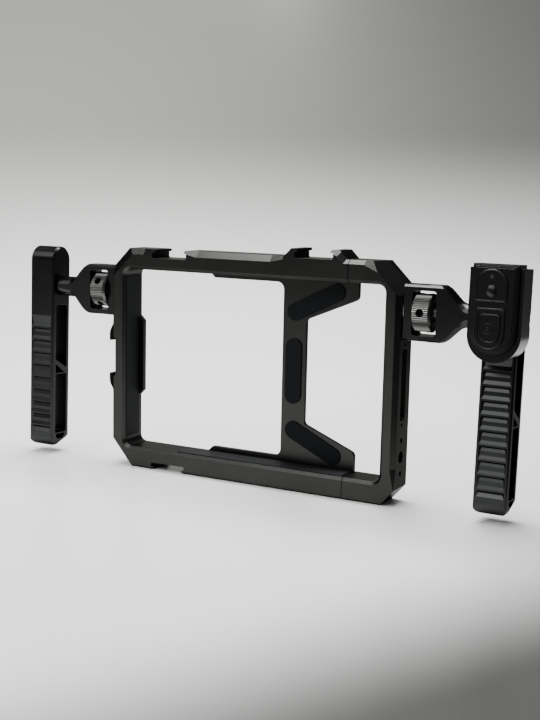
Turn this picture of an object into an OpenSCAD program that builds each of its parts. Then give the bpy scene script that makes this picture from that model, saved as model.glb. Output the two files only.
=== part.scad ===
// Phone camera cage: a rectangular aluminium frame with a sliding end piece,
// four accessory shoes, two side arms with thumbwheels, two grips and a remote.
// +X to the right, +Y to the back, +Z up. The origin is the middle of the
// lower rail's bottom face. Sizes are in millimetres.

/* [Cage] */
// Width of the cage over its side faces, end piece closed
cage_w = 147; // [141:1:165]
// Height of the cage over its rails
cage_h = 104.6; // [100:0.2:112]
// Depth of the phone bay, from the front to the back plate
bay_d = 12.4; // [12:0.1:13]
// Height of the upper and lower rails
rail_h = 9.7; // [9:0.1:11]
// Width of the left and right bars
bar_w = 7; // [6.4:0.1:9]
// Leg of the upper left corner's 45 degree cut
cut_tl = 8.1; // [6:0.1:9]
// Leg of the upper right corner's cut
cut_tr = 10; // [7:0.1:10.5]
// Width of the lower left corner's cut
cut_bl = 11; // [9:0.1:12]
// Width of the lower right corner's cut
cut_br = 6.2; // [5:0.1:8]
// Height of the lower corners' cuts over their width
low_steep = 1.15; // [1:0.01:1.2]
// Radius of the inner corners
inner_r = 3.4; // [2:0.1:5]
// Bevel round the front of the inner opening
inner_bevel = 1.3; // [0.5:0.1:1.5]
// Distance from the centre to the seam of the end piece
seam_x = 49.1; // [48.5:0.1:51]
// Width of the seam when the end piece is closed
seam_gap = 0.3; // [0.2:0.05:0.6]
// How far the end piece slides out
travel = 30; // [20:1:32]

/* [Outer bevels] */
// Drop of the upper front bevel along the flats
flat_drop = 2.7; // [1.5:0.1:3]
// Drop of the upper front bevel beside the shoes
shoe_drop = 1.3; // [0.8:0.1:1.6]
// Drop of the upper front bevel beside the seam
seam_drop = 1.8; // [1.4:0.1:2.2]
// Slope of the long ramps in the upper front bevel
ramp_angle = 12; // [8:1:16]
// Slope of the short ramps in the upper front bevel
steep_angle = 20; // [16:1:26]
// Inset of the raised block's front edge
block_inset = 2; // [1:0.1:2.4]
// Inset of the left corners' facets at the front
left_facet = 4.3; // [2:0.1:5]
// Depth of the upper left corner's facet
left_facet_d = 3; // [2:0.1:5]
// Inset of the upper right corner's facet at the front
right_facet = 3.75; // [3:0.05:5]
// Depth of the upper right corner's facet
right_facet_d = 10.8; // [8:0.1:11.5]
// Inset of the bevel down the end piece's front
bar_bevel = 2.1; // [1:0.1:2.8]
// Small edge bevel on the lower and left edges
edge_bevel = 0.8; // [0.3:0.1:1]

/* [Back plate] */
// Thickness of the back plate and its tabs
plate_t = 2.2; // [1.8:0.1:3]
// Left edge of the plate's upright
plate_x = 12.3; // [10:0.1:13]
// Width of the plate's upright
plate_bar_w = 11.6; // [10:0.1:12]
// Half height of the notch between the arms where it meets the upright
notch_in = 23.8; // [22:0.1:25]
// Half height of the notch between the arms at its open end
notch_out = 34.2; // [32:0.1:36]
// How far the tabs stand into the opening
tab_in = 2.6; // [2:0.1:3]
// Left end of the upper and lower tabs
tab_x = -24; // [-30:0.5:-20]
// Half length of the left tab
side_tab = 17; // [12:0.5:18]
/* [Rubber pads] */
// Radius of the back plate's pads
pad_r = 4; // [3:0.1:4.2]
// Distance between the end centres of the middle pad
pad_mid = 21.8; // [18:0.1:24]
// Distance between the end centres of the slanted pads
pad_slant = 22.4; // [18:0.1:23]
// Slant of the outer pads
pad_angle = 26; // [24:0.5:27]
// Height of the slanted pads' inner ends above the middle
pad_rise = 27; // [26.5:0.1:28]
// Thickness of the rubber
pad_t = 1.2; // [0.8:0.1:1.6]
// Depth of the recess that holds the rubber
pad_sink = 0.6; // [0.4:0.1:0.8]
// Left end of the strip on the lower rail
strip_x = -37; // [-44:0.5:-30]
// Gap from the inner corners to the strip on the left bar
side_strip_gap = 4; // [3.6:0.1:8]

/* [Accessory shoes] */
// Inner width of a shoe
shoe_w = 18.5; // [18.2:0.1:18.8]
// How far each lip reaches over the shoe
shoe_lip = 1.35; // [1:0.05:2]
// Thickness of the lips
lip_t = 1.3; // [1:0.1:1.5]
// Height of the shoe under its lips on the upper rail
shoe_gap = 2.8; // [2.4:0.1:3]
// How far the raised shoe's lips stand above the rail
block_rise = 3.7; // [3.2:0.1:4]
// Height of the shoe under its lips on the side and lower rail
shoe_gap_low = 2; // [1.9:0.1:2.2]
// Centre of the left upper and lower shoes
shoe_left_x = -41.6; // [-44:0.1:-40]
// Centre of the raised shoe
shoe_right_x = 32.7; // [30:0.1:33]
// How far the side shoe stands out of the left bar
side_shoe_out = 1.5; // [1:0.1:2]
// Metal beside a shoe before its ramp starts
shoe_wall = 2.2; // [2:0.1:3]

/* [Side sockets] */
// Radius of the threaded sockets in the side bars
socket_r = 2.6; // [2.4:0.05:2.7]
// Radius of the locating holes
dowel_hole_r = 1.25; // [1.2:0.05:1.4]
// Distance from a socket to its locating holes
dowel_pitch = 7.3; // [6.5:0.1:8]
// Height of the lower right socket
low_socket_z = 20.7; // [20:0.1:24]
// Height of the charging window
port_h = 31; // [26:0.5:33]
// Width of the charging window from front to back
port_w = 5.4; // [5:0.1:6]

/* [Guide rods] */
// Radius of the guide rods
rod_r = 2; // [1.6:0.1:2.2]
// Length of a guide rod inside the main frame
rod_in = 44; // [42:0.5:46]
// Length of a guide rod inside the end piece
rod_out = 12; // [10:0.5:14]
// Running clearance of shafts and rods, on the radius
fit = 0.05; // [0.02:0.01:0.1]
// Distance of the lock screws from the seam
lock_x = 8; // [6:0.5:9]
// Radius of the lock screws
lock_r = 1.5; // [1.2:0.1:1.6]

/* [Arms] */
// Height of the arms' axis
arm_z = 83.8; // [83:0.1:84.2]
// Height of the arm's block
block_h = 23.8; // [23:0.1:24.2]
// Depth of the arm's block
block_d = 9.4; // [9:0.1:10]
// Length of the arm's block up to the neck's curve
block_l = 12.7; // [12:0.1:13.5]
// Gap between the block and the bar, filled by a washer
washer_t = 0.6; // [0.5:0.1:0.8]
// Length of the neck between block and shaft
neck_l = 15; // [14:0.1:16]
// Radius of the neck's curve next to the block
neck_out_r = 9.7; // [8:0.1:10.5]
// Radius of the neck's curve next to the shaft
neck_in_r = 6.5; // [4:0.1:7]
// Radius of the shaft at the neck
neck_r = 4.9; // [4.7:0.05:5.1]
// Radius of the shaft inside the grip
shaft_r = 4.5; // [4.3:0.1:4.6]
// Distance from the cage's side to the grip
grip_off = 36; // [35:0.1:38]
// Inner wall of the block, between the washer and the window
block_wall = 3.8; // [3.4:0.1:4]
// Length of the window for the wheel
window_l = 10.6; // [10.2:0.1:10.8]
// Height of the window for the wheel
window_h = 19; // [18.6:0.1:19.4]

/* [Thumbwheels] */
// Radius of the wheels
wheel_r = 8.2; // [7.8:0.1:8.4]
// Width of the wheels
wheel_w = 8.6; // [8:0.1:8.8]
// Gap between the wheel and the window's inner end
wheel_gap = 0.3; // [0.2:0.05:0.5]
// Number of grooves round a wheel
wheel_grooves = 60; // [40:2:72]
// Depth of the grooves
groove_t = 0.35; // [0.2:0.05:0.5]
// Radius of the holes in the rim
tommy_r = 1.75; // [1.2:0.05:1.9]
// Turn of the left wheel's first hole above the front
left_wheel_turn = 33; // [0:1:89]
// Turn of the right wheel's first hole above the front
right_wheel_turn = 3; // [0:1:89]
// Radius of the stud that the wheel turns
stud_r = 2.5; // [2.3:0.05:2.6]

/* [Grips] */
// Width of a grip along X
grip_w = 14.3; // [13:0.1:15]
// Depth of a grip, twice the radius of its upper end
grip_d = 13.4; // [12:0.1:14]
// Length of a grip above the arm's axis
grip_up = 19.3; // [18:0.1:20]
// Length of a grip below the arm's axis
grip_down = 80.6; // [78:0.1:82]
// Radius of the lower end's front corner
toe_r = 5; // [3:0.1:5.5]
// Radius of the lower end's back corner
heel_r = 5.5; // [4:0.1:6]
// Slant of the lower end
heel_angle = 20; // [10:1:25]
// Rounding of the lower end's side edges
foot_r = 3.5; // [2.5:0.1:4]
// Forward swing of the left grip
left_tilt = 1.4; // [0:0.1:3]
// Forward swing of the right grip
right_tilt = 2.4; // [0:0.1:3]
// Edge bevel of a grip
grip_bevel = 0.8; // [0.5:0.1:1.2]
// Depth of the grip's bore for the shaft
grip_bore = 11; // [9:0.5:11.5]
// Number of ribs
rib_n = 9; // [7:1:9]
// Pitch of the ribs
rib_pitch = 6.16; // [5.8:0.01:6.2]
// Distance from the arm's axis down to the first rib's crest
rib_first = 20.7; // [20.4:0.1:22]
// Flat width of a rib's crest
rib_crest = 0.6; // [0.5:0.1:1]
// Height of the slope above a rib's crest
rib_up = 1.6; // [1.2:0.05:1.8]
// Height of the slope below a rib's crest
rib_down = 0.9; // [0.6:0.1:1.2]
// Height of the slope at the bottom of the groove
rib_back = 1.4; // [1:0.1:1.6]
// Height of the long ramp above the first rib
rib_ramp = 4; // [3:0.5:5]
// Flat margin between the pockets and the grip's bevel
rib_margin = 0.4; // [0.2:0.1:1.5]
// Depth of the grooves between the ribs
rib_depth = 1.1; // [0.8:0.1:1.2]
// Depth of the flats between the ribs
rib_flat = 0.6; // [0.3:0.1:0.7]
// Wall in front of the grip's windows
grip_wall = 2.5; // [2.3:0.1:3.5]
// Wall behind the grip's windows
grip_back_wall = 2.5; // [2:0.1:3]
// Distance from the arm's axis down to the upper window
window_first = 9.4; // [8:0.1:11]
// Distance from the arm's axis down to the web between the windows
web_drop = 44; // [42:0.1:46]
// Thickness of the webs between the windows
web_t = 0.6; // [0.5:0.1:1.5]
// Thickness of the diagonal strut between the windows
strut_t = 2.4; // [2:0.1:3]
// Height of the triangular window below the strut
strut_h = 4.6; // [3:0.1:4.8]
// Distance from the grip's lower end up to the long window
window_last = 6.8; // [5:0.1:9]
// Height of the small pocket at the grip's lower end
heel_pocket = 2.5; // [2:0.1:2.8]

/* [Remote] */
// Width of the remote
remote_w = 19; // [18:0.1:20]
// Height of the remote
remote_h = 35.9; // [35:0.1:38]
// Thickness of the remote
remote_d = 10; // [9.6:0.1:10.4]
// Height of the remote's flat top above the arm's axis
remote_up = 22.2; // [21.5:0.1:23]
// Wall of the holder round the remote
holder_wall = 1.35; // [1.2:0.05:1.6]
// Extra wall under the remote
holder_sole = 1.8; // [0:0.1:2]
// Depth of the holder's rim in front of the grip
holder_d = 8.4; // [7:0.1:8.8]
// Thickness of the holder between the remote and the grip
holder_back = 0.7; // [0.6:0.1:1]
// How far the holder reaches back over the grip
holder_lap = 3.8; // [3:0.1:5]
// Height of the holder's top above the arm's axis
holder_up = 20.6; // [20:0.1:21.2]
// Sideways place of the remote's raised faces
face_x = -1.2; // [-1.5:0.1:0]
// Width of the upper raised face
face_w = 13.1; // [12:0.1:13.4]
// Width of the lower raised face
low_face_w = 12.3; // [11.5:0.1:13]
// Height of the raised faces over the front
face_t = 0.4; // [0.2:0.05:0.6]
// Play between the remote and its holder
remote_play = 0.15; // [0.1:0.05:0.3]
// Wall of the remote's shells
shell_t = 1.2; // [1:0.1:1.5]
// Travel of the remote's buttons
press = 0.5; // [0.3:0.1:0.6]
// Radius of the small button
dome_r = 1.9; // [1.4:0.1:2]
// Height of the small button beyond its width
dome_long = 1.1; // [0.8:0.1:1.4]
// Width of the large button
thumb_w = 8.9; // [8.5:0.1:9.8]
// Height of the large button
thumb_h = 11.6; // [11:0.1:12.6]

/* [Hidden] */

$fn = 48;
cut = 0.5;
arc_steps = 6;
neck_steps = 9;
cage_d = bay_d + plate_t;
front = -cage_d / 2;
back = cage_d / 2;
plate_y = back - plate_t;
half_w = cage_w / 2;
in_x = half_w - bar_w;
in_top = cage_h - rail_h;
mid_z = cage_h / 2;
plate_r = plate_x + plate_bar_w;
shoe_open = shoe_w - 2 * shoe_lip;
shoe_block = shoe_w / 2 + shoe_wall;
raised_top = cage_h + block_rise;
rod_z_low = rail_h / 2;
rod_z_up = cage_h - rail_h / 2;
block_x = half_w + washer_t;
window_x = block_x + block_wall;
wheel_x = window_x + wheel_gap + wheel_w / 2;
neck_x = block_x + block_l;
grip_x = half_w + grip_off;
grip_cx = grip_x + grip_w / 2;
grip_front = -grip_d / 2;
grip_back = grip_d / 2;
grip_top = arm_z + grip_up;
grip_base = arm_z - grip_down;
rib_top = arm_z - rib_first;
socket_end = in_x + 1.4;
stud_in = socket_end + 0.2;
stud_out = window_x + window_l + 2.6;
bolt_head_t = 2;
remote_top = arm_z + remote_up;
holder_top = arm_z + holder_up;
remote_back_y = grip_front - holder_back;
remote_front_y = remote_back_y - remote_d;
remote_base = remote_top - remote_h;
thumb_top = remote_top - 19.6;
dome_z = remote_top - 10.6;
light_z = remote_top - 5;
face_cx = grip_cx + face_x;

grey = [0.23, 0.23, 0.24];
steel = [0.55, 0.55, 0.56];
black = [0.05, 0.06, 0.07];
satin = [0.11, 0.12, 0.13];

// ---- outlines ----------------------------------------------------------

function unit(v) = v / norm(v);

// The points of one corner b between a and c, rounded to radius r
function corner(a, b, c, r) = r <= 0 ? [b] :
    let (u = unit(a - b), v = unit(c - b), half = acos(u * v) / 2)
    let (o = b + unit(u + v) * r / sin(half))
    let (p = b + u * r / tan(half) - o, q = b + v * r / tan(half) - o)
    let (a0 = atan2(p.y, p.x), turn = atan2(q.y, q.x) - a0)
    let (sweep = turn > 180 ? turn - 360 : turn < -180 ? turn + 360 : turn)
    [for (i = [0:arc_steps]) let (t = a0 + sweep * i / arc_steps) o + r * [cos(t), sin(t)]];

// A closed outline from [x, y, radius] corners
function rounded(path) = [
    for (i = [0:len(path) - 1])
        let (a = path[(i + len(path) - 1) % len(path)], b = path[i], c = path[(i + 1) % len(path)])
        each corner([a.x, a.y], [b.x, b.y], [c.x, c.y], b.z)
];

// Points on an arc of radius r round a centre, from angle a0 to a1
function arc(centre, r, a0, a1) =
    [for (i = [0:neck_steps]) let (a = a0 + (a1 - a0) * i / neck_steps) centre + r * [cos(a), sin(a)]];

function box_path(x0, x1, y0, y1, r) = [[x0, y0, r], [x1, y0, r], [x1, y1, r], [x0, y1, r]];

// Stands an outline drawn in X and Z up, from depth y0 to depth y1
module slab(y0, y1) {
    translate([0, y1, 0]) rotate([90, 0, 0]) linear_extrude(y1 - y0) children();
}

// Extrudes an outline drawn in Y and Z along X, from x0 to x1
module along_x(x0, x1) {
    translate([x0, 0, 0]) rotate([90, 0, 90]) linear_extrude(x1 - x0) children();
}

// A round bar along X
module rod_x(x0, x1, r) {
    translate([x0, 0, 0]) rotate([0, 90, 0]) cylinder(h = x1 - x0, r = r);
}

// A round bar along Y
module rod_y(y0, y1, r) {
    translate([0, y1, 0]) rotate([90, 0, 0]) cylinder(h = y1 - y0, r = r);
}

module box(x0, x1, y0, y1, z0, z1) {
    translate([x0, y0, z0]) cube([x1 - x0, y1 - y0, z1 - z0]);
}

module mirrored(side) {
    if (side < 0) mirror([1, 0, 0]) children();
    else children();
}

// ---- cage --------------------------------------------------------------

module outer_outline() {
    polygon([[-half_w + cut_bl, 0], [half_w - cut_br, 0], [half_w, cut_br * low_steep],
        [half_w, cage_h - cut_tr], [half_w - cut_tr, cage_h], [-half_w + cut_tl, cage_h],
        [-half_w, cage_h - cut_tl], [-half_w, cut_bl * low_steep]]);
}

module opening_outline() {
    polygon(rounded(box_path(-in_x, in_x, rail_h, in_top, inner_r)));
}

// A wedge that bevels the front edge starting at [x, z] and running at an angle
module edge_wedge(x, z, angle, length, inset, depth) {
    run = depth * cut;
    over = inset + 1;
    translate([x, front, z]) rotate([0, -angle, 0]) along_x(-over, length + over)
        polygon([[-run, -inset * (1 + cut)], [depth + run, inset * cut], [-run, inset * cut + 1]]);
}

// All that lies before a 45 degree bevel through the front face's [x, z] at an angle
module front_bevel(x, z, angle) {
    translate([x, front, z]) rotate([0, -angle, 0]) rotate([45, 0, 0])
        translate([-cage_w, -cage_w, 0]) cube([2 * cage_w, 2 * cage_w, cage_w]);
}

// The cage's two halves in one piece, before the shoes are cut
module ring() {
    difference() {
        union() {
            slab(front, back) difference() {
                outer_outline();
                opening_outline();
            }
            raised_block();
            side_block();
        }
        left_bevels();
        middle_bevels();
        right_bevels();
        edge_bevels();
        inner_chamfer();
    }
}

flat_z = cage_h - flat_drop;
shoe_z = cage_h - shoe_drop;
block_foot = shoe_right_x - shoe_block - block_rise;

module left_bevels() {
    edge_wedge(-half_w, cage_h - cut_tl, 45, cut_tl * sqrt(2), left_facet, left_facet_d);
    intersection() {
        front_bevel(0, flat_z, 0);
        front_bevel(shoe_left_x - shoe_w / 2 - 1, shoe_z, steep_angle);
    }
}

module middle_bevels() {
    intersection() {
        front_bevel(0, flat_z, 0);
        front_bevel(shoe_left_x + shoe_open / 2, shoe_z, -ramp_angle);
        front_bevel(block_foot + 0.4, shoe_z, ramp_angle);
        front_bevel(block_foot + 0.4, shoe_z, 45);
    }
}

module right_bevels() {
    shoulder = block_inset / sqrt(2);
    edge_wedge(half_w - cut_tr, cage_h, -45, cut_tr * sqrt(2), right_facet, right_facet_d);
    intersection() {
        front_bevel(0, cage_h - seam_drop, 0);
        front_bevel(shoe_right_x + shoe_block - shoulder, raised_top - shoulder, -45);
    }
    intersection() {
        front_bevel(0, flat_z, 0);
        front_bevel(seam_x + 3, cage_h - seam_drop, -steep_angle);
        front_bevel(seam_x, cage_h - seam_drop, 45);
    }
    front_bevel(seam_x + 9.4, flat_z, -steep_angle - 4);
}

// The bevel down the end piece, and the small ones down and under the frame
module edge_bevels() {
    low = cut_bl * low_steep;
    low_angle = atan(low_steep);
    intersection() {
        front_bevel(half_w - bar_bevel, bar_bevel_end, -90);
        front_bevel(half_w - bar_bevel, bar_bevel_end, ramp_angle - 90);
    }
    edge_wedge(-half_w, low, 90, cage_h, edge_bevel, edge_bevel);
    edge_wedge(half_w, 0, 180, cage_w, edge_bevel, edge_bevel);
    edge_wedge(-half_w + cut_bl, 0, 180 - low_angle, norm([cut_bl, low]), edge_bevel, edge_bevel);
}

bar_bevel_end = 2.6 * cut_br;

// A bevel round the front edge of the opening
module inner_chamfer() {
    for (side = [-1, 1]) {
        mirrored(side) translate([in_x, front, rail_h + inner_r]) inner_wedge(in_top - rail_h - 2 * inner_r);
    }
    for (z = [rail_h, in_top]) {
        turn = z == rail_h ? 90 : -90;
        translate([turn > 0 ? -in_x + inner_r : in_x - inner_r, front, z]) rotate([0, turn, 0])
            inner_wedge(2 * in_x - 2 * inner_r);
    }
    for (sx = [-1, 1], z = [rail_h + inner_r, in_top - inner_r])
        translate([sx * (in_x - inner_r), front - cut, z]) rotate([-90, 0, 0])
            cylinder(h = inner_bevel + cut, r1 = inner_r + inner_bevel + cut, r2 = inner_r);
}

module inner_wedge(length) {
    linear_extrude(length)
        polygon([[-cut, -cut], [inner_bevel + cut, -cut], [0, inner_bevel], [-cut, inner_bevel]]);
}

module shoe_outline(gap) {
    w = shoe_w / 2;
    o = shoe_open / 2;
    polygon(rounded([[-o, cut, 0], [-o, -lip_t, 0], [-w, -lip_t, 0], [-w, -lip_t - gap, 0.7],
        [w, -lip_t - gap, 0.7], [w, -lip_t, 0], [o, -lip_t, 0], [o, cut, 0]]));
}

// Cuts a shoe whose lips' outer faces pass through [x, z]; turn 0 opens upward
module shoe_cut(x, z, turn, gap) {
    slab(front - cut, back + cut) translate([x, z]) rotate(turn) shoe_outline(gap);
}

module raised_block() {
    slab(front, back) translate([shoe_right_x, cage_h])
        polygon([[-shoe_block - block_rise, -cut], [-shoe_block - block_rise, 0],
            [-shoe_block, block_rise], [shoe_block, block_rise], [shoe_block + block_rise, 0],
            [shoe_block + block_rise, -cut]]);
}

module side_block() {
    ramp = 6;
    slab(front, back) translate([-half_w, mid_z])
        polygon([[cut, -shoe_block - ramp], [0, -shoe_block - ramp], [-side_shoe_out, -shoe_block],
            [-side_shoe_out, shoe_block], [0, shoe_block + ramp], [cut, shoe_block + ramp]]);
}

// The back plate with the tabs above, below and on the left of the opening
module plate_outline() {
    top = in_top - tab_in;
    low = rail_h + tab_in;
    over_top = in_top + 1;
    over_low = rail_h - 1;
    polygon(rounded([[tab_x - tab_in, over_low, 0], [seam_x, over_low, 0],
        [seam_x, mid_z - notch_out, 2.5], [plate_r, mid_z - notch_in, 2],
        [plate_r, mid_z + notch_in, 2], [seam_x, mid_z + notch_out, 2.5],
        [seam_x, over_top, 0], [tab_x - tab_in, over_top, 0],
        [tab_x - tab_in, in_top, 0], [tab_x, top, 1], [plate_x, top, 3.4],
        [plate_x, low, 3.4], [tab_x, low, 1], [tab_x - tab_in, rail_h, 0]]));
    polygon([[-in_x - 1, mid_z - side_tab - tab_in], [-in_x, mid_z - side_tab - tab_in],
        [-in_x + tab_in, mid_z - side_tab], [-in_x + tab_in, mid_z + side_tab],
        [-in_x, mid_z + side_tab + tab_in], [-in_x - 1, mid_z + side_tab + tab_in]]);
}

module capsule(length, r) {
    translate([0, -r]) square([length, 2 * r]);
    circle(r = r);
    translate([length, 0]) circle(r = r);
}

// Places a pad outline: 1 upper, 0 middle, -1 lower
module pad_outline(which) {
    x = plate_x + plate_bar_w / 2;
    if (which == 0) {
        translate([x, mid_z - pad_mid / 2]) rotate(90) capsule(pad_mid, pad_r);
    } else {
        translate([x + 0.5, mid_z + which * pad_rise]) rotate(which * pad_angle)
            capsule(pad_slant, pad_r);
    }
}

// A threaded socket between two locating holes, along X at height z
module socket(x0, x1, z) {
    translate([0, 0, z]) rod_x(x0, x1, socket_r);
    for (s = [-1, 1]) translate([0, 0, z + s * dowel_pitch]) rod_x(x0, x1, dowel_hole_r);
}

module rod_bores(x0, x1) {
    for (z = [rod_z_low, rod_z_up]) translate([0, 0, z]) rod_x(x0, x1, rod_r + fit);
}

module cage_frame() color(grey) {
    difference() {
        union() {
            intersection() {
                ring();
                box(-cage_w, seam_x, front, back, -1, raised_top + 1);
            }
            slab(plate_y, back) plate_outline();
        }
        shoe_cut(shoe_left_x, cage_h, 0, shoe_gap);
        shoe_cut(shoe_right_x, raised_top, 0, shoe_gap);
        shoe_cut(shoe_left_x, 0, 180, shoe_gap_low);
        shoe_cut(-half_w - side_shoe_out, mid_z, 90, shoe_gap_low);
        for (which = [-1:1]) slab(plate_y - cut, plate_y + pad_sink) pad_outline(which);
        strip_slot();
        side_strip_slot();
        rod_bores(seam_x - rod_in - 0.5, seam_x + 1);
        for (z = [rod_z_low, rod_z_up]) translate([seam_x - lock_x, 0, z])
            rod_y(0, back + cut, lock_r + fit);
        mirrored(-1) socket(socket_end, half_w + 1, arm_z);
    }
}

strip_front = front + inner_bevel + 0.2;
strip_back = plate_y - 0.3;
strip_end = seam_x - 0.8;
side_strip_low = rail_h + side_strip_gap;
side_strip_top = in_top - side_strip_gap + 0.6;

module strip_slot() {
    box(strip_x, strip_end, strip_front, strip_back, rail_h - pad_sink, rail_h + 1);
}

module side_strip_slot() {
    box(-in_x - pad_sink, -in_x + 1, strip_front, strip_back, side_strip_low, side_strip_top);
}

module back_pad(which) {
    color(black) slab(plate_y + pad_sink - pad_t, plate_y + pad_sink) pad_outline(which);
}

module back_pad_upper() back_pad(1);
module back_pad_middle() back_pad(0);
module back_pad_lower() back_pad(-1);

module rail_strip() color(black) {
    box(strip_x, strip_end, strip_front, strip_back, rail_h - pad_sink, rail_h - pad_sink + strip_t);
}

module side_strip() color(black) {
    box(-in_x - pad_sink, -in_x - pad_sink + strip_t, strip_front, strip_back,
        side_strip_low, side_strip_top);
}

strip_t = pad_t - 0.2;

module rail_lock_screws() color(steel) {
    for (z = [rod_z_low, rod_z_up]) translate([seam_x - lock_x, 0, z]) difference() {
        rod_y(rod_r + 0.3, back - 0.3, lock_r);
        rod_y(back - 1.8, back, lock_r * 0.55);
    }
}

// ---- end piece ---------------------------------------------------------

module end_piece() color(grey) {
    difference() {
        intersection() {
            ring();
            box(seam_x + seam_gap, cage_w, front, back, -1, cage_h + 1);
        }
        charging_window();
        rod_bores(seam_x, seam_x + seam_gap + rod_out + 0.5);
        socket(socket_end, half_w + 1, arm_z);
        socket(in_x - 1, half_w + 1, low_socket_z);
    }
}

// The charging window and the small hole beyond each of its ends
module charging_window() {
    along_x(in_x - 2, half_w + 2) translate([0, mid_z])
        polygon(rounded(box_path(-port_w / 2, port_w / 2, -port_h / 2, port_h / 2, 1)));
    for (s = [-1, 1]) translate([0, 0, mid_z + s * (port_h / 2 + 2)])
        rod_x(half_w - 1.2, half_w + 2, 0.9);
}

module guide_rod(z) {
    color(steel) translate([0, 0, z]) rod_x(seam_x - rod_in, seam_x + seam_gap + rod_out, rod_r);
}

module guide_rod_upper() guide_rod(rod_z_up);
module guide_rod_lower() guide_rod(rod_z_low);

// ---- arms --------------------------------------------------------------

// Half of the arm's outline, drawn as radius and X: block, S-shaped neck and shaft
module arm_side() {
    r = norm([block_h, block_d]) / 2 + 0.2;
    shaft_start = neck_x + neck_l;
    end = grip_x + grip_bore - 0.6;
    outer = [r - neck_out_r, neck_x];
    inner = [neck_r + neck_in_r, shaft_start];
    polygon(concat([[0, block_x], [r, block_x]], arc(outer, neck_out_r, 0, 45),
        arc(inner, neck_in_r, 225, 180), [[collar_r, grip_x - 0.6], [shaft_r, grip_x - 0.4],
        [shaft_r, end - 0.6], [shaft_r - 0.6, end], [0, end]]));
}

module arm_lathe() {
    rotate([0, 90, 0]) rotate_extrude() arm_side();
}

module arm(side) {
    color(grey) mirrored(side) translate([0, 0, arm_z]) difference() {
        intersection() {
            arm_lathe();
            arm_block();
        }
        slab(-block_d, block_d)
            polygon(rounded(box_path(window_x, window_x + window_l, -window_h / 2, window_h / 2, 1.5)));
        rod_x(half_w, stud_out + 0.3, stud_r + fit);
        for (s = [-1, 1]) translate([0, 0, s * dowel_pitch]) rod_x(block_x - 1, block_x + 2.5, dowel_r);
        serrations();
        rod_x(grip_x + grip_bore - 6, grip_x + grip_bore, bolt_r + fit);
    }
}

dowel_r = dowel_hole_r - fit;
bolt_r = 1.5;
bolt_head_r = 3.4;
collar_r = block_d / 2 + 0.02;

// The block's envelope: flat front and back with beveled long edges
module arm_block() {
    d = block_d / 2;
    h = block_h / 2;
    b = 1;
    along_x(block_x, grip_x + grip_bore) polygon([[-d, -h + b], [-d + b, -h], [d - b, -h], [d, -h + b],
        [d, h - b], [d - b, h], [-d + b, h], [-d, h - b]]);
}

// Grooves across the block's top and bottom, next to the cage
module serrations() {
    for (s = [-1, 1], i = [0:8])
        translate([block_x + 1.4 + i * 1.1, 0, s * block_h / 2]) rotate([0, 45, 0])
            cube([0.5, block_d + 2, 0.5], center = true);
}

module left_arm() arm(-1);
module right_arm() arm(1);

module arm_washer(side) {
    color(steel) mirrored(side) translate([0, 0, arm_z]) difference() {
        rod_x(half_w, block_x, 4.4);
        rod_x(half_w - 1, block_x + 1, stud_r + 0.2);
    }
}

module left_arm_washer() arm_washer(-1);
module right_arm_washer() arm_washer(1);

module arm_dowels(side) {
    color(steel) mirrored(side) for (s = [-1, 1])
        translate([0, 0, arm_z + s * dowel_pitch]) rod_x(half_w - 3, block_x + 2.4, dowel_r - 0.02);
}

module left_arm_dowels() arm_dowels(-1);
module right_arm_dowels() arm_dowels(1);

// ---- thumbwheels -------------------------------------------------------

module wheel(side, turn) {
    color(grey) mirrored(side) translate([wheel_x, 0, arm_z]) rotate([-turn, 0, 0]) difference() {
        intersection() {
            rotate([0, 90, 0]) translate([0, 0, -wheel_w / 2]) linear_extrude(wheel_w)
                polygon([for (i = [0:2 * wheel_grooves - 1])
                    let (r = i % 2 ? wheel_r : wheel_r - groove_t, a = 180 * i / wheel_grooves)
                    r * [cos(a), sin(a)]]);
            rotate([0, 90, 0]) rotate_extrude() polygon([[0, -wheel_w / 2], [wheel_r - 1, -wheel_w / 2],
                [wheel_r + 0.1, -wheel_w / 2 + 1.1], [wheel_r + 0.1, wheel_w / 2 - 1.1],
                [wheel_r - 1, wheel_w / 2], [0, wheel_w / 2]]);
        }
        rod_x(-wheel_w, wheel_w, stud_r + fit);
        for (a = [0:90:270]) rotate([a, 0, 0]) rod_y(-wheel_r - 1, -stud_r - 1.5, tommy_r);
        for (s = [-1, 1]) translate([s * (wheel_w / 2 - 0.7), 0, 0]) difference() {
            rod_x(min(0, s), max(0, s), wheel_r - 2);
            rod_x(-2, 2, stud_r + 1.6);
        }
    }
}

module left_wheel() wheel(-1, left_wheel_turn);
module right_wheel() wheel(1, right_wheel_turn);

module stud(side) {
    color(steel) mirrored(side) translate([0, 0, arm_z]) rod_x(stud_in, stud_out, stud_r);
}

module left_stud() stud(-1);
module right_stud() stud(1);

// ---- grips -------------------------------------------------------------

// Swings a grip's parts forward round the arm's axis
module swung(side) {
    translate([0, 0, arm_z]) rotate([side < 0 ? -left_tilt : -right_tilt, 0, 0])
        translate([0, 0, -arm_z]) children();
}

// A grip seen from the side, drawn in Y and Z
module grip_side() {
    r = grip_d / 2;
    under = [sin(heel_angle), -cos(heel_angle)];
    toe = [toe_r - r, grip_base + toe_r];
    heel = [r - heel_r, toe.y + (under.x * (grip_d - toe_r - heel_r) + heel_r - toe_r) / -under.y];
    translate([0, grip_top - r]) circle(r = r);
    translate(toe) circle(r = toe_r);
    translate(heel) circle(r = heel_r);
    polygon([[-r, toe.y], toe + toe_r * under, heel + heel_r * under, [r, heel.y],
        [r, grip_top - r], [-r, grip_top - r]]);
}

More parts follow.
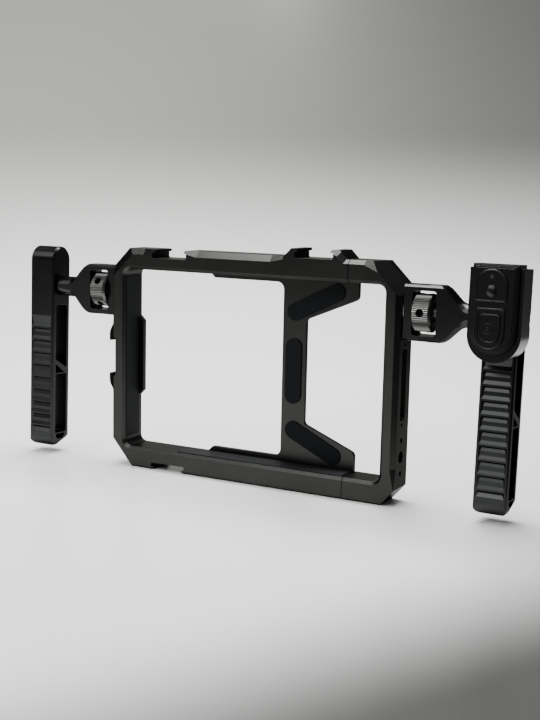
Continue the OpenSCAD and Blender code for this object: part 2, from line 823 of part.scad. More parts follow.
// A grip's beveled solid, centred on X
module grip_body() {
    half = grip_w / 2;
    r = grip_d / 2;
    b = grip_bevel;
    difference() {
        intersection() {
            along_x(-half, half) grip_side();
            union() {
                translate([0, 0, grip_base - 1]) linear_extrude(grip_top - r - grip_base + 1)
                    polygon([[-half, -r + b], [-half + b, -r], [half - b, -r], [half, -r + b],
                        [half, r - b], [half - b, r], [-half + b, r], [-half, r - b]]);
                translate([0, 0, grip_top - r]) rotate([0, 90, 0]) rotate_extrude()
                    polygon([[0, -half], [r - b, -half], [r, -half + b], [r, half - b],
                        [r - b, half], [0, half]]);
            }
        }
        for (side = [-1, 1]) mirrored(side) {
            translate([half, 0, grip_base]) slab(-grip_d, grip_d) foot_corner();
            translate([half, toe_r - r, grip_base + toe_r]) rotate([heel_angle, 0, 0])
                slab(-grip_d, 2 * grip_d) translate([0, -toe_r]) foot_corner();
        }
    }
}

// What the rounding takes off a lower edge, drawn in X and Z from the sharp edge
module foot_corner() {
    polygon(concat([for (a = [0:15:90]) [-foot_r + foot_r * sin(a), foot_r - foot_r * cos(a)]],
        [[1, foot_r], [1, -1], [-foot_r, -1]]));
}

// The pockets that leave the ribs standing
module rib_pockets() {
    x = grip_w / 2 - grip_bevel - rib_margin;
    intersection() {
        along_x(-grip_w, grip_w) translate([grip_front, 0]) for (i = [0:rib_n]) rib_pocket(i);
        linear_extrude(grip_top) translate([0, grip_front])
            polygon([[-x - cut, -cut], [x + cut, -cut], [x - rib_depth, rib_depth],
                [-x + rib_depth, rib_depth]]);
    }
}

// Pocket i lies above crest i, drawn as depth and height. The first runs in on a
// long ramp, and the last is a plain groove.
module rib_pocket(i) {
    crest = rib_top - i * rib_pitch + rib_crest / 2;
    top = crest + rib_pitch - rib_crest;
    groove = top - rib_down - rib_back;
    over = cut / rib_depth;
    if (i == 0) {
        polygon([[-cut, crest], [0, crest], [rib_flat, crest + rib_up],
            [0, crest + rib_up + rib_ramp], [-cut, crest + rib_up + rib_ramp]]);
    } else if (i == rib_n) {
        polygon([[-cut, top], [0, top], [rib_depth, top - rib_down], [0, groove - 0.4], [-cut, groove - 0.4]]);
    } else {
        polygon([[-cut, crest], [0, crest], [rib_flat, crest + rib_up], [rib_flat, groove],
            [rib_depth, top - rib_down], [0, top], [-cut, top]]);
    }
}

// The grip's windows, drawn in Y and Z
module grip_windows() {
    y0 = grip_front + grip_wall;
    y1 = grip_back - grip_back_wall;
    top = arm_z - window_first;
    web = arm_z - web_drop;
    low = grip_base + window_last;
    strut = web + web_t + strut_h + strut_t;
    drop = strut_h * (y1 - y0) / (y1 - y0 - 1.5);
    polygon(rounded([[y0, strut, 0.4], [y0, top, 0.8], [y1, top, 0.8], [y1, strut - drop + 0.8, 0.4]]));
    polygon([[y0, web + web_t], [y0, web + web_t + strut_h], [y1 - 1.5, web + web_t]]);
    polygon(rounded([[y0, low, 0.6], [y0, web, 0.4], [y1, web, 0.4], [y1, low, 0.6]]));
    polygon(rounded([[y0 + 0.3, low - web_t, 0.4], [y1 - 0.5, low - web_t, 0.4],
        [y1 - 2.4, low - web_t - heel_pocket, 1.2], [y0 + 1.6, low - web_t - heel_pocket, 1.2]]));
}

module grip(side) {
    color(grey) swung(side) mirrored(side) translate([grip_cx, 0, 0]) difference() {
        grip_body();
        rib_pockets();
        along_x(-grip_w, grip_w) grip_windows();
        translate([0, 0, arm_z]) {
            rod_x(-grip_w, -grip_w / 2 + grip_bore, shaft_r + fit);
            rod_x(0, grip_w, bolt_r + 0.2);
        }
    }
}

module left_grip() grip(-1);
module right_grip() grip(1);

// The bolt that holds a grip on its shaft
module grip_bolt(side) {
    color(steel) swung(side) mirrored(side) translate([0, 0, arm_z]) difference() {
        union() {
            rod_x(grip_x + grip_bore - 5, grip_x + grip_w + 0.5, bolt_r);
            rod_x(grip_x + grip_w + 0.02, grip_x + grip_w + bolt_head_t, bolt_head_r);
        }
        rod_x(grip_x + grip_w + 0.6, grip_x + grip_w + bolt_head_t + 1, 1.3, $fn = 6);
    }
}

module left_grip_bolt() grip_bolt(-1);
module right_grip_bolt() grip_bolt(1);

// ---- remote ------------------------------------------------------------

// The remote's outline: square on top, half round below, grown by g and lowered
module remote_outline(g, top, sole = 0) {
    r = remote_w / 2 + g;
    zc = remote_base + remote_w / 2 - sole;
    translate([grip_cx, 0]) {
        translate([0, zc]) circle(r = r);
        translate([-r, zc]) square([2 * r, top - zc]);
    }
}

module remote_holder() color(satin) {
    rim = grip_front - holder_d;
    gap = 0.03;
    swung(1) difference() {
        slab(rim, grip_front + holder_lap)
            remote_outline(remote_play + holder_wall, holder_top, holder_sole);
        slab(rim - cut, remote_back_y + remote_play)
            remote_outline(remote_play, remote_top + 1);
        box(grip_x - gap, grip_x + grip_w + gap, grip_front - gap, grip_back,
            arm_z - web_drop, holder_top + 1);
        translate([0, 0, arm_z]) {
            rod_x(grip_x - grip_w, grip_x, neck_r + 0.6);
            rod_x(grip_x + grip_w, grip_x + 2 * grip_w, bolt_head_r + 0.6);
        }
    }
}

// The remote's body between two depths, its edges stepped in by s
module remote_body(y0, y1, s) {
    slab(y0, y1) remote_outline(-s, remote_top - s);
}

remote_split = remote_back_y - 4;

module remote_back() color(satin) {
    swung(1) difference() {
        remote_body(remote_split, remote_back_y, 0);
        remote_body(remote_split - cut, remote_back_y - shell_t, shell_t);
    }
}

module remote_front() color(satin) {
    split = remote_split - 0.02;
    raised = remote_front_y - face_t;
    swung(1) difference() {
        union() {
            remote_body(remote_front_y + 1.4, split, 0);
            remote_body(remote_front_y + 0.7, split, 0.4);
            remote_body(remote_front_y + 0.25, split, 1);
            remote_body(remote_front_y, split, 1.7);
            slab(raised, split) upper_face();
            slab(raised, split) lower_face();
        }
        remote_body(remote_front_y + shell_t + 1, split + cut, shell_t);
        slab(raised - cut, split) thumb_outline(0.25);
        slab(raised - cut, split) dome_outline(0.2);
        translate([face_cx, 0, light_z]) rod_y(raised - cut, split, light_r + 0.05);
    }
}

// The arched raised zone round the small button
module upper_face() {
    w = face_w / 2;
    translate([face_cx, remote_top]) polygon(rounded([[-w, -14.9, 1], [w, -14.9, 1],
        [w, -2, w - 0.1], [-w, -2, w - 0.1]]));
}

// The raised zone round the large button
module lower_face() {
    w = low_face_w / 2;
    translate([face_cx, remote_top]) polygon(rounded([[-w, -33.7, w - 0.1], [w, -33.7, w - 0.1],
        [w, -17.3, 1.6], [-w, -17.3, 1.6]]));
}

module thumb_outline(g) {
    w = thumb_w / 2 + g;
    low = thumb_top - thumb_h - g;
    translate([face_cx, 0]) polygon(rounded([[-w, low, w - 0.1], [w, low, w - 0.1],
        [w, thumb_top + g, 1.4], [-w, thumb_top + g, 1.4]]));
}

module dome_outline(g) {
    translate([face_cx, dome_z - dome_long / 2]) rotate(90) capsule(dome_long, dome_r + g);
}

button_back = remote_front_y + 3.4;
board_front = button_back + press + 0.1;
light_r = 0.65;

module remote_thumb_button() color(satin) {
    swung(1) slab(remote_front_y - face_t, button_back) thumb_outline(0);
}

module remote_small_button() color(satin) {
    swung(1) intersection() {
        slab(remote_front_y - 1, button_back) dome_outline(0);
        translate([face_cx, remote_front_y + 3.3, dome_z]) sphere(r = 4.3);
    }
}

module remote_light() color([0.7, 0.72, 0.75]) {
    swung(1) translate([face_cx, 0, light_z]) rod_y(remote_front_y - face_t + 0.05, board_front, light_r);
}

module remote_board() color([0.1, 0.35, 0.2]) {
    swung(1) slab(board_front + 0.01, board_front + 1)
        remote_outline(-shell_t - 0.05, remote_top - shell_t - 0.05);
}

module remote_cell() color(steel) {
    swung(1) translate([grip_cx, 0, remote_base + remote_w / 2 + 6])
        rod_y(board_front + 1.02, remote_back_y - shell_t - 0.05, 8);
}

cage_frame();
back_pad_upper();
back_pad_middle();
back_pad_lower();
rail_strip();
side_strip();
rail_lock_screws();
end_piece();
guide_rod_upper();
guide_rod_lower();
left_arm();
left_arm_washer();
left_arm_dowels();
left_wheel();
left_stud();
left_grip();
left_grip_bolt();
right_arm();
right_arm_washer();
right_arm_dowels();
right_wheel();
right_stud();
right_grip();
right_grip_bolt();
remote_holder();
remote_back();
remote_front();
remote_board();
remote_cell();
remote_light();
remote_small_button();
remote_thumb_button();
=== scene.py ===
# %% [markdown]
# # A phone camera cage
# The real object is a cage of milled aluminium, blasted with fine beads and then anodised dark grey. A
# phone lies in the rectangular bay, thumbwheels lock two side arms, and ribbed grips hang from the arms.
# The solids come from the CAD model, so this script dresses them: camera, finishes, small parts and light.

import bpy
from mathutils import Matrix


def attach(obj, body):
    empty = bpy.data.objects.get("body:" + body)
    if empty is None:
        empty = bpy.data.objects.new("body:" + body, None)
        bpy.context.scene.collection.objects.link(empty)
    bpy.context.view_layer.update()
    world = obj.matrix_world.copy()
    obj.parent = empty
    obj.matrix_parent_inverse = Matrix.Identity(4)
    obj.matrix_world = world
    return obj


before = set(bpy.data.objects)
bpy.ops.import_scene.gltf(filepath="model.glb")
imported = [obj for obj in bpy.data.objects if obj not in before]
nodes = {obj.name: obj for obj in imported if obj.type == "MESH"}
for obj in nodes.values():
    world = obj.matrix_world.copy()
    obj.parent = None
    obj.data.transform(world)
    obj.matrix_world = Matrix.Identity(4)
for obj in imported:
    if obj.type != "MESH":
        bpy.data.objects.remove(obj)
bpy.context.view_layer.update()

# %% Libraries and units
import math

import bmesh
import bpy
from mathutils import Matrix, Vector

MM = 0.001
scene = bpy.context.scene
print("sizes on the cage are in millimetres, and the stage and its lamps are in metres")

# %% [markdown]
# ## The camera
# The photograph was taken from the front right and a little above. A camera can be placed with angles
# and a distance, or with a position and a view direction. The second way is used here, because both
# were solved from the cage's own corners. The picture is also turned a little, so the camera is rolled.

# %% Camera
EYE = Vector((255.3, -457.5, 134.7)) * MM
YAW = 28.33
PITCH = 8.49
ROLL = 1.24
FOCAL_PX = 1163.2
PICTURE_H = 720
SENSOR = 36
CLIP_START = 0.01


def look_direction(yaw, pitch):
    """Where a camera looks that is turned left by yaw and down by pitch, in degrees."""
    a, b = math.radians(yaw), math.radians(pitch)
    return Vector((-math.sin(a) * math.cos(b), math.cos(a) * math.cos(b), -math.sin(b)))


level_right = Vector((math.cos(math.radians(YAW)), math.sin(math.radians(YAW)), 0))
ahead = look_direction(YAW, PITCH)
right = Matrix.Rotation(math.radians(-ROLL), 3, ahead) @ level_right
up = right.cross(ahead)
camera_data = bpy.data.cameras.new("camera")
camera_data.sensor_width = SENSOR
camera_data.lens = FOCAL_PX * SENSOR / PICTURE_H
camera_data.clip_start = CLIP_START
camera = bpy.data.objects.new("camera", camera_data)
camera.matrix_world = Matrix.Translation(EYE) @ Matrix((right, up, -ahead)).transposed().to_4x4()
scene.collection.objects.link(camera)
scene.camera = camera
print("camera at", [round(c, 3) for c in EYE], "lens", round(camera_data.lens, 1), "mm")

# %% [markdown]
# ## Shader sums
# A finish is a graph of small nodes. Wiring them by hand hides the idea, so one class wraps a socket and
# lets masks be written as sums, such as `1 - mask`. Every other node comes from its `node` method.


# %% A socket that can be added and multiplied
class Wire:
    """One node output inside a material's tree."""

    def __init__(self, tree, socket):
        self.tree = tree
        self.socket = socket

    def node(self, kind, settings=None, inputs=None, out=0):
        """Adds a node, sets its settings, then fills its inputs with values or wires."""
        made = self.tree.nodes.new(kind)
        for name, value in (settings or {}).items():
            setattr(made, name, value)
        for name, value in (inputs or {}).items():
            if isinstance(value, Wire):
                self.tree.links.new(value.socket, made.inputs[name])
            else:
                made.inputs[name].default_value = value
        return Wire(self.tree, made.outputs[out])

    def maths(self, operation, first, second):
        return self.node("ShaderNodeMath", {"operation": operation}, {0: first, 1: second})

    def __add__(self, other):
        return self.maths("ADD", self, other)

    def __radd__(self, other):
        return self.maths("ADD", other, self)

    def __sub__(self, other):
        return self.maths("SUBTRACT", self, other)

    def __rsub__(self, other):
        return self.maths("SUBTRACT", other, self)

    def __mul__(self, other):
        return self.maths("MULTIPLY", self, other)

    def __rmul__(self, other):
        return self.maths("MULTIPLY", other, self)


# %% [markdown]
# A few helpers read like words: how far a vector reaches in a direction, a mask that climbs between two
# values, a colour between two others, and a lighter or darker shade. The Mix node keeps its sockets for
# numbers, vectors and colours side by side and only numbers tell them apart, so the colour ones get names.

# %% Directions, masks and colours
MIX_FACTOR = 0
MIX_LOW = 6
MIX_HIGH = 7
MIX_RESULT = 2


def along(vector, direction):
    """How far a vector reaches in a direction."""
    return vector.node("ShaderNodeVectorMath", {"operation": "DOT_PRODUCT"},
                       {0: vector, 1: direction}, "Value")


def climb(value, low, high, curve="LINEAR"):
    """A mask that goes from 0 to 1 as the value goes from low to high."""
    return value.node("ShaderNodeMapRange", {"interpolation_type": curve},
                      {"Value": value, "From Min": low, "From Max": high})


def mix(mask, low, high):
    """A colour from low to high as the mask goes from 0 to 1. Either colour may be a wire."""
    sockets = {MIX_FACTOR: mask}
    for socket, colour in ((MIX_LOW, low), (MIX_HIGH, high)):
        sockets[socket] = colour if isinstance(colour, Wire) else (*colour, 1)
    return mask.node("ShaderNodeMix", {"data_type": "RGBA"}, sockets, MIX_RESULT)


def shade(colour, factor):
    """A lighter or darker colour."""
    return tuple(c * factor for c in colour)


# %% [markdown]
# ## Finishes
# Most finishes share three things: a fine grain, slow cloudiness and rounded edges. The solids have
# razor-sharp edges, and the real ones are broken by tumbling and blasting. Real bevels would need far
# more faces, so a Bevel node bends the normals near each edge instead. Where the bent normal leaves the
# true one there is an edge, and on the aluminium that is also the mask of wear.

# %% Start a material
BEVEL_SAMPLES = 6
EDGE_START = 0.01
EDGE_FULL = 0.2


def start(name, metallic, ior=1.5):
    """A new material: its shader node, and a wire to the object's own coordinates."""
    material = bpy.data.materials.new(name)
    material.use_nodes = True
    tree = material.node_tree
    shader = tree.nodes["Principled BSDF"]
    shader.inputs["Metallic"].default_value = metallic
    shader.inputs["IOR"].default_value = ior
    places = Wire(tree, tree.nodes.new("ShaderNodeTexCoord").outputs["Object"])
    return material, shader, places


def plug(shader, name, wire):
    """Lets a wire drive one of the shader's sockets."""
    wire.tree.links.new(wire.socket, shader.inputs[name])


def noise(places, size_mm, detail=2.0):
    """Noise from 0 to 1 whose lumps are about size_mm wide."""
    return places.node("ShaderNodeTexNoise", None,
                       {"Vector": places, "Scale": 1 / (size_mm * MM), "Detail": detail})


def rounded_normals(places, radius_mm):
    """Normals that turn smoothly over every edge."""
    return places.node("ShaderNodeBevel", {"samples": BEVEL_SAMPLES}, {"Radius": radius_mm * MM})


def edge_mask(rounded):
    """1 along the edges, where the rounded normals leave the true ones."""
    true = rounded.node("ShaderNodeNewGeometry", out="True Normal")
    return climb(1 - along(rounded, true), EDGE_START, EDGE_FULL)


def bump(height, normals, strength, depth_mm):
    """Normals that also follow a height from 0 to 1."""
    return height.node("ShaderNodeBump", None, {"Height": height, "Normal": normals,
                                                "Strength": strength, "Distance": depth_mm * MM})


# %% [markdown]
# ## Anodised aluminium
# Anodising leaves a thin layer of dyed oxide on the blasted metal. It could be a black plastic with a
# clear coat, but the real faces mirror their surroundings as a dark metal does, so it is one here. The
# oxide takes away the bright rim of bare metal at flat angles, and the specular tint does that.

# %% Cage, grips and wheels
OXIDE_TINT = (0.4, 0.4, 0.4, 1)
CLOUD_DARK = 0.86
CLOUD_LIGHT = 1.12
WORN_LIGHT = 1.5
WORN_SHARE = 0.8
ROUGH_SHIFT = 0.04
CLOUD_ROUGH = 0.06
GRAIN_ROUGH = 0.05
GUNMETAL = (0.041, 0.0405, 0.039)
GRIP_GREY = (0.036, 0.0365, 0.037)
WHEEL_GREY = (0.11, 0.11, 0.105)


def anodised(name, colour, rough, edge_mm=0.16):
    """Blasted and anodised aluminium: fine sparkle, cloudy gloss, and edges a shade lighter."""
    material, shader, places = start(name, metallic=1.0)
    shader.inputs["Specular Tint"].default_value = OXIDE_TINT
    clouds = noise(places, size_mm=14)
    grain = noise(places, size_mm=0.11, detail=3)
    normals = rounded_normals(places, edge_mm)
    body = mix(clouds, shade(colour, CLOUD_DARK), shade(colour, CLOUD_LIGHT))
    rubbed = edge_mask(normals) * noise(places, size_mm=1.2) * WORN_SHARE
    plug(shader, "Base Color", mix(rubbed, body, shade(colour, WORN_LIGHT)))
    plug(shader, "Roughness", rough - ROUGH_SHIFT + clouds * CLOUD_ROUGH + grain * GRAIN_ROUGH)
    plug(shader, "Normal", bump(grain, normals, strength=0.12, depth_mm=0.02))
    return material


cage_metal = anodised("anodised_cage", GUNMETAL, rough=0.31)
grip_metal = anodised("anodised_grip", GRIP_GREY, rough=0.25)
wheel_metal = anodised("anodised_wheel", WHEEL_GREY, rough=0.28, edge_mm=0.08)
print("anodised finishes:", cage_metal.name, grip_metal.name, wheel_metal.name)

# %% [markdown]
# ## Rubber and satin plastic
# The pads are black rubber, and the remote with its holder is moulded plastic. Both are plain dark
# non-metals under a fine grain, so one function makes them. A low index of refraction keeps the black
# deep where the lamps would veil it, and gloss and grain tell the soft rubber from the satin plastic.

# %% Rubber and plastic
MOTTLE_DARK = 0.8
MATT_EDGE_MM = 0.2
MATT_SPREAD = 0.1


def matt(name, colour, rough, ior, grain_mm, depth_mm):
    """Rubber or moulded plastic with a fine even grain."""
    material, shader, places = start(name, metallic=0.0, ior=ior)
    grain = noise(places, grain_mm, detail=4)
    mottle = noise(places, size_mm=9)
    plug(shader, "Base Color", mix(mottle, shade(colour, MOTTLE_DARK), colour))
    plug(shader, "Roughness", rough - MATT_SPREAD / 2 + grain * MATT_SPREAD)
    normals = rounded_normals(places, MATT_EDGE_MM)
    plug(shader, "Normal", bump(grain, normals, strength=0.35, depth_mm=depth_mm))
    return material


rubber = matt("rubber", (0.003, 0.0036, 0.0046), rough=0.6, ior=1.2, grain_mm=0.18, depth_mm=0.03)
satin = matt("satin_plastic", (0.006, 0.006, 0.007), rough=0.28, ior=1.36, grain_mm=0.2, depth_mm=0.002)
print("soft finishes:", rubber.name, satin.name)

# %% [markdown]
# ## Plain steel
# Screws, pins, studs and guide rods are plain turned steel, and turning leaves faint rings. They could be
# cut into the mesh, but they are shallower than a hair is thick. A wave texture that runs along the X
# axis, as most of these parts do, draws them for the price of one node.

# %% Steel
TARNISH = 0.75
RING_SCALE = 900.0
STEEL_EDGE_MM = 0.1
RING_ROUGH = 0.06


def steel(name, colour, rough):
    """Turned steel: bright, with faint rings of tool marks round the X axis."""
    material, shader, places = start(name, metallic=1.0)
    rings = places.node("ShaderNodeTexWave", {"bands_direction": "X", "wave_profile": "SAW"},
                        {"Vector": places, "Scale": RING_SCALE, "Distortion": 1.5, "Detail": 1.0})
    plug(shader, "Base Color", mix(noise(places, size_mm=5), shade(colour, TARNISH), colour))
    plug(shader, "Roughness", rough + rings * RING_ROUGH)
    normals = rounded_normals(places, STEEL_EDGE_MM)
    plug(shader, "Normal", bump(rings, normals, strength=0.1, depth_mm=0.01))
    return material


bright = steel("plain_steel", (0.52, 0.52, 0.53), rough=0.28)
print("steel finish:", bright.name)

# %% [markdown]
# ## Light guide and circuit board
# The remote's small lamp shines through a smoky window, and a lacquered green board lies inside the
# case. One is tiny and the other is hidden, so specks in colour and gloss are all that they need.

# %% Smoky window and lacquer
SPECK_GLOSS = 0.2


def speckled(name, dark, light, speck_mm, gloss_mm, rough):
    """Smooth plastic or lacquer with faint specks in its colour and its gloss."""
    material, shader, places = start(name, metallic=0.0)
    plug(shader, "Base Color", mix(noise(places, speck_mm), dark, light))
    plug(shader, "Roughness", rough + noise(places, gloss_mm) * SPECK_GLOSS)
    return material


smoky = speckled("light_guide", (0.02, 0.021, 0.022), (0.03, 0.031, 0.032),
                 speck_mm=0.4, gloss_mm=0.3, rough=0.25)
lacquer = speckled("circuit_board", (0.02, 0.09, 0.05), (0.04, 0.16, 0.09),
                   speck_mm=1.5, gloss_mm=0.6, rough=0.3)
print("small finishes:", smoky.name, lacquer.name)

# %% [markdown]
# ## Dressing the solids
# Each solid keeps its shape and gets the finish of the real part. The grips and the arms are a little
# darker and glossier than the cage, and the wheels are brighter than both. The finishes could be picked
# by hand in the editor, but one table shows at a glance which part wears what and whether one is bare.

# %% Which finish goes where
SIDES = ("left", "right")


def on_both_sides(*parts):
    """The names of parts that the left and the right side both have."""
    return [side + "_" + part for side in SIDES for part in parts]


FINISH = {
    cage_metal: ["cage_frame", "end_piece"],
    grip_metal: on_both_sides("grip", "arm"),
    wheel_metal: on_both_sides("wheel"),
    rubber: ["back_pad_upper", "back_pad_middle", "back_pad_lower", "rail_strip", "side_strip"],
    satin: ["remote_holder", "remote_back", "remote_front", "remote_small_button", "remote_thumb_button"],
    bright: ["rail_lock_screws", "guide_rod_upper", "guide_rod_lower", "remote_cell",
             *on_both_sides("arm_washer", "arm_dowels", "stud", "grip_bolt")],
    smoky: ["remote_light"],
    lacquer: ["remote_board"],
}


def dress(part, material):
    """Gives a part one finish all over."""
    part.data.materials.clear()
    part.data.materials.append(material)


for material, names in FINISH.items():
    for name in names:
        dress(nodes[name], material)
undressed = set(nodes) - {name for names in FINISH.values() for name in names}
print("undressed parts:", sorted(undressed))

# %% [markdown]
# ## Small parts on the remote
# The remote rides on a grip that leans a little about the arm's shaft. Its details could be placed in
# their leaning positions straight away, but they are easier to lay out upright. So they are drawn on an
# upright face, and one matrix turns them with the grip.

# %% The leaning frame of the right grip
SHAFT_Z = 83.8
LEAN_DEG = -2.4
FACE_X = 115.45  # the middle of the remote's face
FACE_Y = -17.4  # the front of the remote's face
shaft = Vector((0, 0, SHAFT_Z * MM))
lean = (Matrix.Translation(shaft) @ Matrix.Rotation(math.radians(LEAN_DEG), 4, "X")
        @ Matrix.Translation(-shaft))
print("the remote leans by", LEAN_DEG, "degrees about a shaft at", SHAFT_Z, "mm")

# %% [markdown]
# A moulded ridge is a thin round bead that follows a closed outline. A curve with a bevel depth could
# make it, but a mesh that is built ring by ring has a known number of faces and leans as it is built.
# The outline comes first: a polygon with round corners, or a circle.

# %% Outlines
CORNER_STEPS = 8


def angles(count):
    """The angles of count equal steps round a circle."""
    return [2 * math.pi * k / count for k in range(count)]


def rounded_outline(corners):
    """Points round a polygon whose corners are (x, z, radius), all in millimetres."""
    points = []
    for i, (x, z, r) in enumerate(corners):
        here = Vector((x, z))
        before = (Vector(corners[i - 1][:2]) - here).normalized()
        after = (Vector(corners[(i + 1) % len(corners)][:2]) - here).normalized()
        half = before.angle(after) / 2
        centre = here + (before + after).normalized() * (r / math.sin(half))
        first = here + before * (r / math.tan(half)) - centre
        last = here + after * (r / math.tan(half)) - centre
        for k in range(CORNER_STEPS + 1):
            points.append(centre + first.lerp(last, k / CORNER_STEPS).normalized() * r)
    return points


def arch(low, high, half_w, low_r, high_r):
    """A closed outline in the middle of the face, with one corner radius below and one above."""
    west = FACE_X - half_w
    east = FACE_X + half_w
    return rounded_outline([(west, low, low_r), (east, low, low_r),
                            (east, high, high_r), (west, high, high_r)])


def circle(x, z, radius, count):
    """Points round a circle."""
    return [Vector((x + radius * math.cos(a), z + radius * math.sin(a))) for a in angles(count)]


# %% A bead along an outline
BEAD_SIDES = 8


def object_from(mesh, name):
    """Turns a bmesh into an object in the scene."""
    data = bpy.data.meshes.new(name)
    mesh.to_mesh(data)
    mesh.free()
    made = bpy.data.objects.new(name, data)
    scene.collection.objects.link(made)
    return made


def bead_ring(mesh, point, heading, depth, radius):
    """One ring of the bead's corners, across its heading at a point of the outline."""
    side = Vector((heading.y, -heading.x))
    ring = []
    for a in angles(BEAD_SIDES):
        spot = point + side * (radius * math.cos(a))
        upright = Vector((spot.x, depth + radius * math.sin(a), spot.y)) * MM
        ring.append(mesh.verts.new(lean @ upright))
    return ring


def bead(name, outline, depth, radius, body):
    """A round bead along a closed outline in X and Z, at a depth in Y, riding on a body."""
    mesh = bmesh.new()
    count = len(outline)
    rings = []
    for i, point in enumerate(outline):
        heading = (outline[(i + 1) % count] - outline[i - 1]).normalized()
        rings.append(bead_ring(mesh, point, heading, depth, radius))
    for i, ring in enumerate(rings):
        following = rings[(i + 1) % count]
        for k in range(BEAD_SIDES):
            other = (k + 1) % BEAD_SIDES
            mesh.faces.new((ring[k], ring[other], following[other], following[k])).smooth = True
    bmesh.ops.recalc_face_normals(mesh, faces=mesh.faces)
    piece = object_from(mesh, name)
    dress(piece, satin)
    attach(piece, body)
    print(name, "has", len(piece.data.polygons), "faces and rides on", body)


# %% [markdown]
# ## Ridges and the button's sign
# On the real remote a ridge frames the upper zone, another the lower zone, and a third runs round the
# large button, which has a small round sign. They stand only a few tenths of a millimetre proud. They
# could be painted on with bump, but their rims catch the light in the photograph, so they are beads.

# %% Ridges round the remote's two zones and on its large button
ZONE_RIDGE_Y = FACE_Y - 0.34
ZONE_RIDGE_R = 0.28
BUTTON_RIDGE_Y = FACE_Y - 0.36
BUTTON_RIDGE_R = 0.26
upper_zone = arch(low=91.5, high=103.6, half_w=6.15, low_r=1.0, high_r=6.0)
lower_zone = arch(low=72.7, high=88.3, half_w=5.75, low_r=5.6, high_r=1.5)
large_button = arch(low=75.2, high=86.0, half_w=4.0, low_r=3.8, high_r=1.2)
bead("upper_zone_ridge", upper_zone, ZONE_RIDGE_Y, ZONE_RIDGE_R, "remote")
bead("lower_zone_ridge", lower_zone, ZONE_RIDGE_Y, ZONE_RIDGE_R, "remote")
bead("button_ridge", large_button, BUTTON_RIDGE_Y, BUTTON_RIDGE_R, "thumb_button")

# %% Ring and dot
SIGN_X = 114.9
SIGN_Y = FACE_Y - 0.4
SIGN_Z = 80.5
RING_BEAD_R = 0.14
DOT_BEAD_R = 0.2
ring = circle(SIGN_X, SIGN_Z, radius=2.05, count=32)
dot = circle(SIGN_X, SIGN_Z, radius=0.55, count=16)
bead("button_ring", ring, SIGN_Y, RING_BEAD_R, "thumb_button")
bead("button_dot", dot, SIGN_Y, DOT_BEAD_R, "thumb_button")

# %% [markdown]
# ## The stage
# The photograph shows a pale grey sweep: a table that curves up into a wall. A swept sheet gives the same
# soft horizon, where a floor and a separate wall would show a line. It is turned square to the camera, and
# it ends just outside the picture on the right and in front, so that faces turned that way mirror the dark
# room and not bright paper.

# %% Paper sweep
SWEEP_LEFT = -1.3
SWEEP_RIGHT = 0.4
SWEEP_NEAR = -0.32
SWEEP_WALL = 0.3
SWEEP_CURVE = 0.55
SWEEP_HEIGHT = 2.6
CURVE_STEPS = 24


def sweep_profile():
    """Points in Y and Z: floor, quarter curve, wall."""
    bend = [(SWEEP_WALL + SWEEP_CURVE * math.sin(t), SWEEP_CURVE * (1 - math.cos(t)))
            for t in (math.pi / 2 * i / CURVE_STEPS for i in range(CURVE_STEPS + 1))]
    return [(SWEEP_NEAR, 0.0), *bend, (SWEEP_WALL + SWEEP_CURVE, SWEEP_HEIGHT)]


def swept_sheet(name, profile, left, right, turn_deg):
    """A sheet between left and right with the profile, turned about the vertical axis."""
    mesh = bmesh.new()
    spin = Matrix.Rotation(math.radians(turn_deg), 3, "Z")
    rows = [[mesh.verts.new(spin @ Vector((x, y, z))) for x in (left, right)] for y, z in profile]
    for low, high in zip(rows, rows[1:]):
        mesh.faces.new((low[0], low[1], high[1], high[0])).smooth = True
    return object_from(mesh, name)


sweep = swept_sheet("sweep", sweep_profile(), SWEEP_LEFT, SWEEP_RIGHT, YAW)
print("sweep of", len(sweep.data.polygons), "faces")
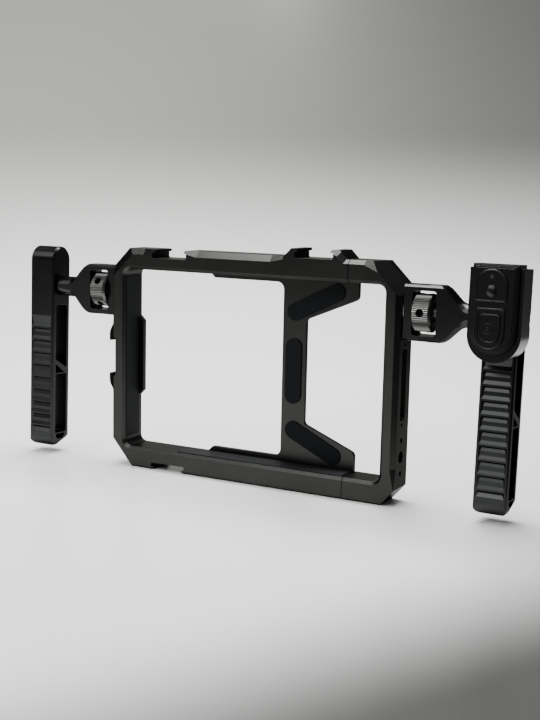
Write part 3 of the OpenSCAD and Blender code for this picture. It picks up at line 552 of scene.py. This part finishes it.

# %% [markdown]
# ## Paper
# The paper darkens up the wall, more so on the right, and again in the near right corner, where shade
# falls.
# Screens in front of the lamps could cast that shade, but they would stand in the other views. So the
# shade is painted into the paper's colour, which fades to darker tones along three directions, from masks
# that climb smoothly in metres.

# %% Paper with painted shade
PAPER_TONES = ((0.70, 0.71, 0.69), (0.74, 0.75, 0.73))
# Painted shade on the wall: darker going up the wall, and darker still on the right
WALL_SHADE_LEFT = (0.27, 0.27, 0.257)
WALL_SHADE_RIGHT = (0.1, 0.1, 0.095)
# Painted shadow: the paper's colour in the near right corner
CORNER_PAINTED_SHADOW = (0.05, 0.05, 0.048)
UPWARD = (0, 0, 1)
TO_CORNER = (0.91, -0.415, 0)
PAPER_ROUGH = 0.22
PAPER_SPREAD = 0.05


def fade(places, direction, start_at, end_at):
    """A smooth mask from 0 to 1 between two distances along a direction."""
    return climb(along(places, direction), start_at, end_at, "SMOOTHSTEP")


paper, paper_shader, paper_places = start("paper", metallic=0.0)
plain = mix(noise(paper_places, size_mm=300), *PAPER_TONES)
# Masks for the painted shade: towards the right, and up the wall
wall_shade_rightward = fade(paper_places, tuple(level_right), start_at=-0.5, end_at=0.3)
wall_shade_rise = fade(paper_places, UPWARD, start_at=-0.02, end_at=0.2)
# Mask for the painted shadow in the near right corner
corner_shadow_mask = fade(paper_places, TO_CORNER, start_at=0.12, end_at=0.22)
# The wall's painted shade, darker on the right
wall = mix(wall_shade_rightward, WALL_SHADE_LEFT, WALL_SHADE_RIGHT)
# Painted shade and shadow in the paper's colour: darker up the wall and to the right, darkest in the near
# right corner
plug(paper_shader, "Base Color", mix(corner_shadow_mask, mix(wall_shade_rise, plain, wall), CORNER_PAINTED_SHADOW))
plug(paper_shader, "Roughness", PAPER_ROUGH + noise(paper_places, size_mm=2) * PAPER_SPREAD)
dress(sweep, paper)
print("the sweep wears", paper.name)

# %% [markdown]
# ## Light
# The cage's upper edges shine while its front faces stay dark, and its shadow is short and soft. A soft
# box over the cage and a little behind it does that, and lights the paper. A wide, weak one high in
# front fills the faces that the first one misses, and a faint world stands for the room.

# %% Lamps and room
ROOM_COLOUR = (0.9, 0.92, 1.0, 1)
ROOM_LIGHT = 0.11


def lamp(name, place, target, wide, deep, power):
    """A soft box at place that faces target."""
    data = bpy.data.lights.new(name, "AREA")
    data.shape = "RECTANGLE"
    data.size = wide
    data.size_y = deep
    data.energy = power
    box = bpy.data.objects.new(name, data)
    box.location = place
    box.rotation_euler = (Vector(target) - Vector(place)).to_track_quat("-Z", "Y").to_euler()
    scene.collection.objects.link(box)
    print(name, "gives", power, "W from", place)


lamp("ceiling_box", place=(-0.12, 0.16, 0.68), target=(-0.1, 0.15, 0), wide=0.5, deep=0.5, power=18)
lamp("front_top", place=(-0.3, -0.75, 0.9), target=(-0.2, 0, 0.05), wide=1.4, deep=0.8, power=14)
world = bpy.data.worlds.new("room")
world.use_nodes = True
room = world.node_tree.nodes["Background"]
room.inputs["Color"].default_value = ROOM_COLOUR
room.inputs["Strength"].default_value = ROOM_LIGHT
scene.world = world
